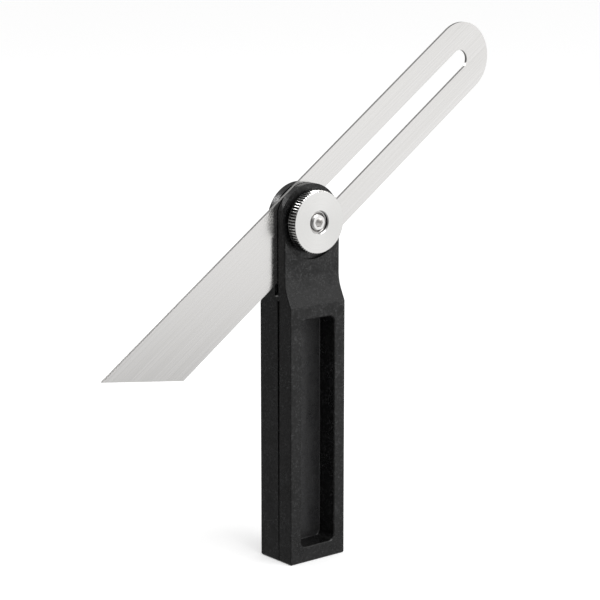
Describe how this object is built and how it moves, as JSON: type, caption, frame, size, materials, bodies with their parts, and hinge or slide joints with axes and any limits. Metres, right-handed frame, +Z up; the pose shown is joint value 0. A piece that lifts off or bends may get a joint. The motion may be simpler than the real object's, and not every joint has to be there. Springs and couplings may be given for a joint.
{
  "type": "sliding t-bevel",
  "caption": "Sliding bevel gauge: slotted steel blade clamped in the slot of a two-part black plastic handle by a knurled thumb nut, standing on its base with the blade set oblique.",
  "frame": {"origin": "centre of the handle's base face", "axes": "+Z up along the handle, +X across its width towards the slotted end of the blade, -Y out of the face that carries the thumb nut"},
  "size_m": [0.1723, 0.0178, 0.1867],
  "materials": {
    "handle_black": "moulded black glass-filled nylon, matt with a fine grain",
    "blade_steel": "brushed along its length",
    "nut_metal": "satin turned, straight knurl",
    "bolt_steel": "plain turned",
    "screw_steel": "black oxide",
    "spring_steel": "plain",
    "washer_black": "plain"
  },
  "bodies": {
    "handle": {"front_handle_half": "handle_black", "back_handle_half": "handle_black", "handle_screws": "screw_steel", "dowel_pins": "screw_steel", "pivot_bolt": "bolt_steel", "wave_washer": "spring_steel"},
    "pivot_bush": {"slide_bush": "bolt_steel", "front_friction_washer": "washer_black", "back_friction_washer": "washer_black"},
    "blade": {"blade": "blade_steel"},
    "clamp_washer": {"thrust_washer": "spring_steel"},
    "thumb_nut": {"thumb_nut": "nut_metal", "nut_insert": "bolt_steel"}
  },
  "joints": [
    {"name": "blade_swing", "type": "hinge", "parent": "handle", "child": "pivot_bush", "pos_m": [0, 0, 0.1219], "axis": [0, 1, 0], "range_deg": [-1.4, 71.8]},
    {"name": "blade_slide", "type": "slide", "parent": "pivot_bush", "child": "blade", "axis": [0.8171, 0, 0.5764], "range_m": [-0.0874, 0.0046]},
    {"name": "nut_travel", "type": "slide", "parent": "handle", "child": "clamp_washer", "axis": [0, -1, 0], "range_m": [0, 0.00101]},
    {"name": "nut_spin", "type": "hinge", "parent": "clamp_washer", "child": "thumb_nut", "pos_m": [0, -0.007, 0.1219], "axis": [0, -1, 0], "range_deg": [0, 360]}
  ],
  "couplings": [
    {"joint": "nut_travel", "follows": "nut_spin", "m_per_rad": 0.00015915}
  ]
}
